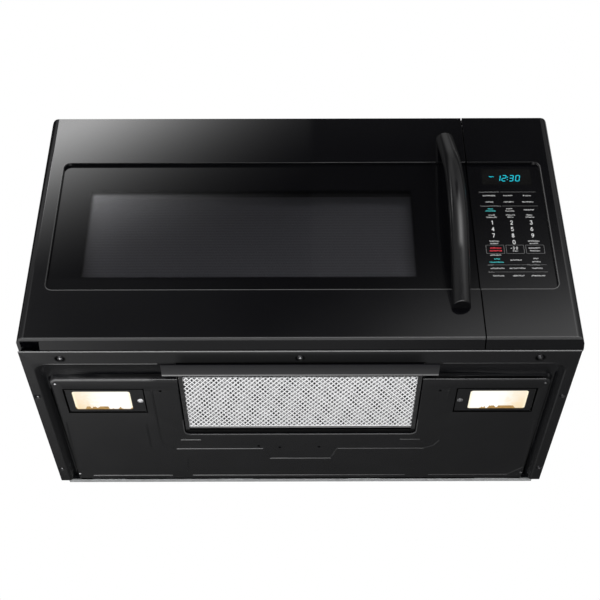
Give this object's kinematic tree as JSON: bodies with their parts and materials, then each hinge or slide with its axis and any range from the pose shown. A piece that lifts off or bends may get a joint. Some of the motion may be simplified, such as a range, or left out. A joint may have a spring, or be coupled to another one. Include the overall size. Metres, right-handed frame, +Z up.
{
  "type": "over-the-range microwave oven",
  "caption": "Wall-hung microwave oven with range hood: left-hinged glass door with bow handle, membrane keypad, turntable, vent blower, grease filter and lamps in a pressed base.",
  "frame": {"origin": "centre of the bounding box at the underside of the base rim", "axes": "+X to the right seen from the front, +Y from the door towards the wall, +Z up"},
  "size_m": [0.759, 0.4584, 0.43],
  "materials": {
    "black_enamel": "semi-gloss black enamel on steel",
    "base_enamel": "satin black enamel on pressed steel",
    "galvanised": "bare galvanised steel",
    "black_gloss": "high-gloss black plastic",
    "black_satin": "satin black plastic",
    "smoked_glass": "smoked glass",
    "inner_glass": "clear inner pane",
    "clear_glass": "clear tempered glass",
    "frosted_glass": "frosted lamp glass",
    "cavity_enamel": "pale grey epoxy enamel",
    "pale_plastic": "natural heat-resistant plastic",
    "white_plastic": "off-white plastic",
    "red_plastic": "red acetal",
    "screen_paint": "dark enamel on perforated sheet",
    "aluminium_mesh": "layered expanded aluminium",
    "motor_steel": "plated steel",
    "screw_steel": "dark zinc-plated steel",
    "copper_iron": "varnished laminations and winding",
    "board_green": "printed circuit board",
    "display_black": "tinted display",
    "carbon_grey": "charcoal filter pad in a plastic tray",
    "rubber_black": "black rubber",
    "mica": "mica sheet"
  },
  "bodies": {
    "case": {"cover_sides": "black_enamel", "cover_top": "black_enamel", "rear_panel": "galvanised", "base_pan": "base_enamel", "filter_lip": "base_enamel", "cavity": "cavity_enamel", "front_frame": "base_enamel", "waveguide": "galvanised", "waveguide_cover": "mica", "magnetron": "motor_steel", "hv_transformer": "copper_iron", "hv_capacitor": "motor_steel", "control_housing": "black_gloss", "control_overlay": "smoked_glass", "display_module": "display_black", "control_board": "board_green", "vent_grille": "black_satin", "charcoal_filter": "carbon_grey", "blower_housing": "galvanised", "blower_motor": "motor_steel", "fan_bracket": "galvanised", "fan_motor": "motor_steel", "turntable_motor": "motor_steel", "latch_body": "white_plastic", "interlock_switches": "black_satin", "hinge_lower": "screw_steel", "hinge_upper": "screw_steel", "lamp_housing_left": "galvanised", "lamp_housing_right": "galvanised", "lamp_bulbs": "frosted_glass", "lamp_sockets": "pale_plastic", "base_screws": "screw_steel", "wall_plate": "galvanised", "cord_grommet": "rubber_black", "cavity_lamp": "pale_plastic"},
    "door": {"door_frame": "black_gloss", "door_glass": "smoked_glass", "inner_window": "inner_glass", "inner_door_panel": "screen_paint", "choke_cover": "black_satin", "handle": "black_gloss", "handle_bolts": "screw_steel"},
    "latch": {"door_latch": "white_plastic"},
    "turntable": {"glass_tray": "clear_glass", "turntable_coupler": "pale_plastic"},
    "ring": {"roller_ring": "pale_plastic"},
    "wheel_1": {"roller_1": "pale_plastic"},
    "wheel_2": {"roller_2": "pale_plastic"},
    "wheel_3": {"roller_3": "pale_plastic"},
    "blower": {"blower_wheels": "white_plastic"},
    "fan": {"fan_blade": "white_plastic"},
    "grease_filter": {"filter_frame": "black_enamel", "filter_mesh": "aluminium_mesh"},
    "lamp_flap_left": {"lamp_cover_left": "base_enamel", "lamp_lens_left": "frosted_glass", "lamp_screw_left": "screw_steel"},
    "lamp_flap_right": {"lamp_cover_right": "base_enamel", "lamp_lens_right": "frosted_glass", "lamp_screw_right": "screw_steel"},
    "interlock": {"interlock_lever": "red_plastic"}
  },
  "joints": [
    {"name": "door_hinge", "type": "hinge", "parent": "case", "child": "door", "pos_m": [-0.366, -0.12475, 0.215], "axis": [0, 0, -1], "range_deg": [0, 95]},
    {"name": "latch_lift", "type": "slide", "parent": "door", "child": "latch", "axis": [0, 0, 1], "range_m": [0, 0.004], "stiffness_N_per_m": 300, "springref_m": -0.004},
    {"name": "turntable_spin", "type": "hinge", "parent": "case", "child": "turntable", "pos_m": [-0.0695, 0.05025, 0.075], "axis": [0, 0, 1], "continuous": true},
    {"name": "ring_spin", "type": "hinge", "parent": "case", "child": "ring", "pos_m": [-0.0695, 0.05025, 0.065], "axis": [0, 0, 1], "continuous": true},
    {"name": "wheel_1_roll", "type": "hinge", "parent": "ring", "child": "wheel_1", "pos_m": [0.03009, 0.10775, 0.0653], "axis": [0.866, 0.5, 0], "continuous": true},
    {"name": "wheel_2_roll", "type": "hinge", "parent": "ring", "child": "wheel_2", "pos_m": [-0.16909, 0.10775, 0.0653], "axis": [-0.866, 0.5, 0], "continuous": true},
    {"name": "wheel_3_roll", "type": "hinge", "parent": "ring", "child": "wheel_3", "pos_m": [-0.0695, -0.06475, 0.0653], "axis": [0, -1, 0], "continuous": true},
    {"name": "blower_spin", "type": "hinge", "parent": "case", "child": "blower", "pos_m": [0, 0.15405, 0.371], "axis": [1, 0, 0], "continuous": true},
    {"name": "fan_spin", "type": "hinge", "parent": "case", "child": "fan", "pos_m": [0.28475, 0.20125, 0.24], "axis": [0, 1, 0], "continuous": true},
    {"name": "filter_drop", "type": "hinge", "parent": "case", "child": "grease_filter", "pos_m": [0, -0.08085, 0.0015], "axis": [-1, 0, 0], "range_deg": [0, 60]},
    {"name": "lamp_flap_left_drop", "type": "hinge", "parent": "case", "child": "lamp_flap_left", "pos_m": [-0.3317, -0.01255, 0.003], "axis": [0, 1, 0], "range_deg": [0, 90]},
    {"name": "lamp_flap_right_drop", "type": "hinge", "parent": "case", "child": "lamp_flap_right", "pos_m": [0.3317, -0.01255, 0.003], "axis": [0, -1, 0], "range_deg": [0, 90]},
    {"name": "interlock_swing", "type": "hinge", "parent": "case", "child": "interlock", "pos_m": [0.2235, -0.07275, 0.328], "axis": [-1, 0, 0], "range_deg": [0, 12], "stiffness_Nm_per_rad": 0.05, "springref_deg": -11.46}
  ],
  "couplings": [
    {"joint": "ring_spin", "follows": "turntable_spin", "ratio": 0.5},
    {"joint": "wheel_1_roll", "follows": "turntable_spin", "ratio": -6.3889},
    {"joint": "wheel_2_roll", "follows": "turntable_spin", "ratio": -6.3889},
    {"joint": "wheel_3_roll", "follows": "turntable_spin", "ratio": -6.3889}
  ]
}
